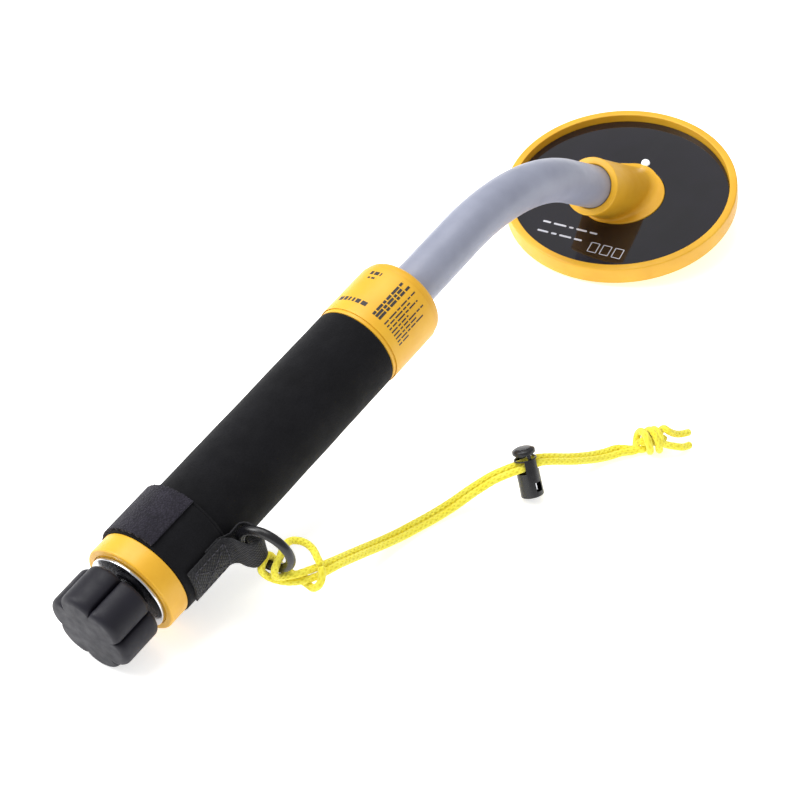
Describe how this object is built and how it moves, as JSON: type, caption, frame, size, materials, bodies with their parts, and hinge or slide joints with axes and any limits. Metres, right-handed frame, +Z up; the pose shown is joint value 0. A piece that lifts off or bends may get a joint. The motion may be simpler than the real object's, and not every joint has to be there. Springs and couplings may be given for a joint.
{
  "type": "handheld search coil detector",
  "caption": "Short underwater search coil: round coil head, bent tube, padded battery handle with clamp-plug knob, strap, ring and knotted wrist lanyard.",
  "frame": {"origin": "on the table, under the middle of the object's bounding box without its lanyard", "axes": "+X from the knob along the handle towards the coil, +Z up, lanyard on the -Y side"},
  "size_m": [0.4915, 0.1963, 0.0889],
  "materials": {
    "yellow_plastic": "injection-moulded yellow PVC, satin",
    "grey_pvc": "bent grey conduit, satin",
    "panel_black": "glossy black cover sheet",
    "label": "printed yellow foil",
    "neoprene": "black neoprene with a fine jersey face",
    "hook_fabric": "charcoal hook-and-loop tape",
    "webbing": "black woven webbing",
    "knob_rubber": "dark grey soft-touch moulding",
    "black_rubber": "black rubber",
    "black_plastic": "black moulded nylon",
    "steel": "polished stainless",
    "brass": "machined brass",
    "copper": "enamelled copper wire",
    "cord_yellow": "bright yellow braided cord",
    "lens_white": "clear white lens",
    "board": "glass-epoxy circuit board",
    "foam": "closed-cell foam",
    "resin": "cast resin",
    "battery_shell": "printed battery jacket",
    "red_wire": "red wire insulation"
  },
  "bodies": {
    "detector": {"coil_housing": "yellow_plastic", "coil_winding": "copper", "coil_potting": "resin", "coil_leads": "copper", "coil_panel": "panel_black", "led_lens": "lens_white", "status_led": "lens_white", "hub_socket": "yellow_plastic", "shaft_tube": "grey_pvc", "coil_cable": "black_rubber", "cable_gland": "resin", "handle_tube": "yellow_plastic", "neoprene_sleeve": "neoprene", "rear_ring": "yellow_plastic", "front_collar": "yellow_plastic", "shaft_seal": "black_rubber", "collar_label": "label", "foam_pad": "foam", "battery_case": "battery_shell", "battery_plus": "steel", "battery_minus": "steel", "battery_snap": "black_rubber", "battery_lead_red": "red_wire", "battery_lead_black": "black_rubber", "board_carrier_rear": "black_plastic", "board_carrier_front": "black_plastic", "circuit_board": "board", "control_chip": "black_plastic", "pulse_transistor": "black_plastic", "capacitor_1": "battery_shell", "capacitor_2": "battery_shell", "piezo_buzzer": "black_plastic", "vibration_motor": "steel", "strap_band": "neoprene", "strap_hook_end": "hook_fabric", "webbing_loop": "webbing"},
    "plug": {"rubber_plug": "black_rubber", "outer_washer": "steel", "thrust_washer": "black_plastic"},
    "bolt": {"draw_bolt": "steel", "inner_washer": "steel"},
    "knob": {"clamp_knob": "knob_rubber", "knob_insert": "brass"},
    "motor_rotor": {"motor_weight": "brass"},
    "lanyard": {"tether_ring": "black_plastic", "lanyard_hitch": "cord_yellow", "lanyard_strand_a": "cord_yellow", "lanyard_strand_b": "cord_yellow", "stopper_knot": "cord_yellow", "lanyard_tail_a": "cord_yellow", "lanyard_tail_b": "cord_yellow"},
    "cord_lock": {"cord_lock_body": "black_plastic", "cord_lock_spring": "steel"},
    "lock_plunger": {"cord_lock_plunger": "black_plastic"}
  },
  "joints": [
    {"name": "plug_pull", "type": "slide", "parent": "detector", "child": "plug", "axis": [-0.9805, 0, -0.1964], "range_m": [0, 0.06]},
    {"name": "knob_turn", "type": "hinge", "parent": "plug", "child": "knob", "pos_m": [-0.21413, 0, 0.02599], "axis": [-0.9805, 0, -0.1964], "range_deg": [0, 1080]},
    {"name": "bolt_draw", "type": "slide", "parent": "plug", "child": "bolt", "axis": [0.9805, 0, 0.1964], "range_m": [0, 0.003]},
    {"name": "vibration_spin", "type": "hinge", "parent": "detector", "child": "motor_rotor", "pos_m": [-0.09409, 0, 0.04534], "axis": [0.9805, 0, 0.1964], "continuous": true},
    {"name": "ring_swing", "type": "hinge", "parent": "detector", "child": "lanyard", "pos_m": [-0.1692, -0.0272, 0.0357], "axis": [0, 0, 1], "range_deg": [-15, 15]},
    {"name": "lock_slide", "type": "slide", "parent": "lanyard", "child": "cord_lock", "axis": [0.9164, -0.4003, 0], "range_m": [-0.006, 0.003]},
    {"name": "lock_press", "type": "slide", "parent": "cord_lock", "child": "lock_plunger", "axis": [-0.1692, -0.3873, -0.9063], "range_m": [0, 0.0024], "stiffness_N_per_m": 900, "springref_m": -0.002, "deforming": ["cord_lock_spring"]}
  ],
  "couplings": [
    {"joint": "knob_turn", "follows": "bolt_draw", "rad_per_m": 6283.2}
  ]
}
